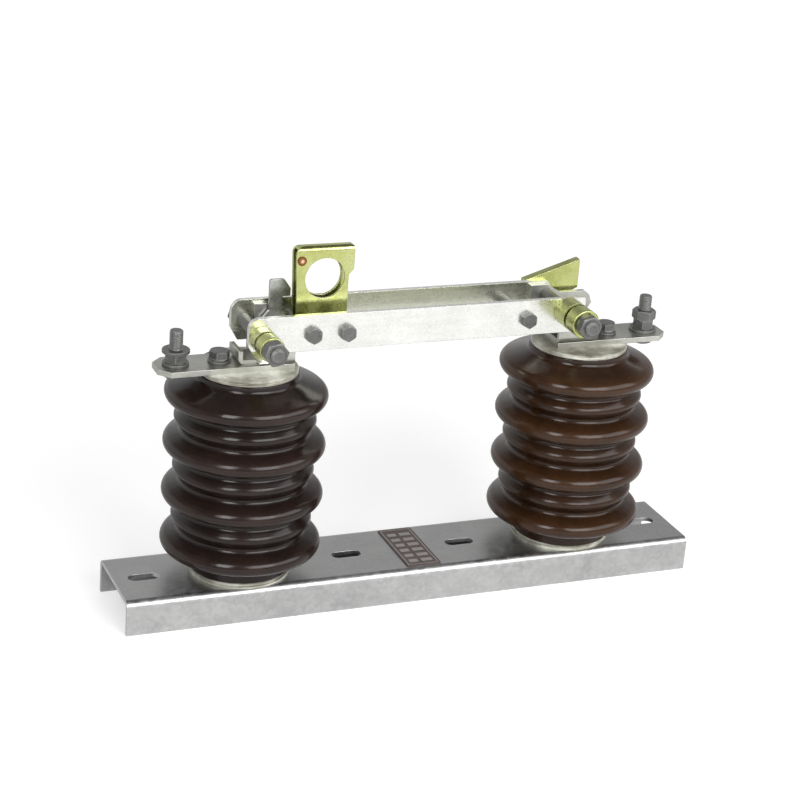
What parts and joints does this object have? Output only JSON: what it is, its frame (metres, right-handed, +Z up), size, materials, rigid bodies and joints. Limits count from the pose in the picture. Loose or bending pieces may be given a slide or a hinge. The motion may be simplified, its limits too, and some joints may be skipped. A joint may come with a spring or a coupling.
{
  "type": "knife disconnect switch",
  "caption": "Single-pole outdoor knife switch: twin hinged blades with a hook eye bridge two ribbed porcelain posts on a steel channel.",
  "frame": {"origin": "underside of the base, midway between the two insulators on the line of the base slots", "axes": "+X from the jaw end to the hinge end along the base, +Y away from the spring packs, +Z up from the mounting face"},
  "size_m": [0.546, 0.1495, 0.3295],
  "materials": {
    "blank_plate": "dark printed plate, blank",
    "brown_glaze_dark": "glossy dark brown glazed porcelain",
    "brown_glaze_red": "glossy reddish brown glazed porcelain",
    "catch_steel": "galvanised spring steel",
    "copper_rivet": "brown copper rivet",
    "galvanised_channel": "satin hot-dip galvanised steel",
    "galvanised_hardware": "dull galvanised steel bolts and nuts",
    "insulator_cement": "unglazed pale seat, slightly yellow",
    "plated_blade": "silver-plated copper, satin",
    "plated_copper": "tin-plated copper, satin",
    "yellow_zinc": "yellow-green zinc-plated steel"
  },
  "bodies": {
    "base": {"base_channel": "galvanised_channel", "hinge_contact": "plated_copper", "insulator_cap_left": "insulator_cement", "insulator_cap_right": "insulator_cement", "insulator_foot_left": "insulator_cement", "insulator_foot_right": "insulator_cement", "insulator_left": "brown_glaze_dark", "insulator_right": "brown_glaze_red", "jaw_contact": "plated_copper", "latch_catch": "catch_steel", "nameplate": "blank_plate", "seat_bolt_left": "galvanised_hardware", "seat_bolt_right": "galvanised_hardware", "strap_bolts_left": "galvanised_hardware", "strap_bolts_right": "galvanised_hardware", "terminal_nuts_left": "galvanised_hardware", "terminal_nuts_right": "galvanised_hardware", "terminal_strap_left": "plated_copper", "terminal_strap_right": "plated_copper", "terminal_stud_left": "galvanised_hardware", "terminal_stud_right": "galvanised_hardware"},
    "blades": {"blade_front": "plated_blade", "blade_rear": "plated_blade", "hinge_bolt": "galvanised_hardware", "jaw_bolt": "galvanised_hardware", "latch_pivot_bolt": "galvanised_hardware", "spring_pack_hinge": "yellow_zinc", "spring_pack_jaw": "yellow_zinc", "stop_plate": "yellow_zinc", "tie_bolt_left": "galvanised_hardware", "tie_bolt_right": "galvanised_hardware"},
    "latch": {"eye_plate": "yellow_zinc", "eye_rivet": "copper_rivet"}
  },
  "joints": [
    {"name": "blade_hinge", "type": "hinge", "parent": "base", "child": "blades", "pos_m": [0.1295, 0, 0.264], "axis": [0, 1, 0], "range_deg": [0, 65]},
    {"name": "latch_pivot", "type": "hinge", "parent": "blades", "child": "latch", "pos_m": [-0.111, 0, 0.2585], "axis": [0, 1, 0], "range_deg": [-18, 0], "stiffness_Nm_per_rad": 0.6, "springref_deg": 20.05}
  ]
}
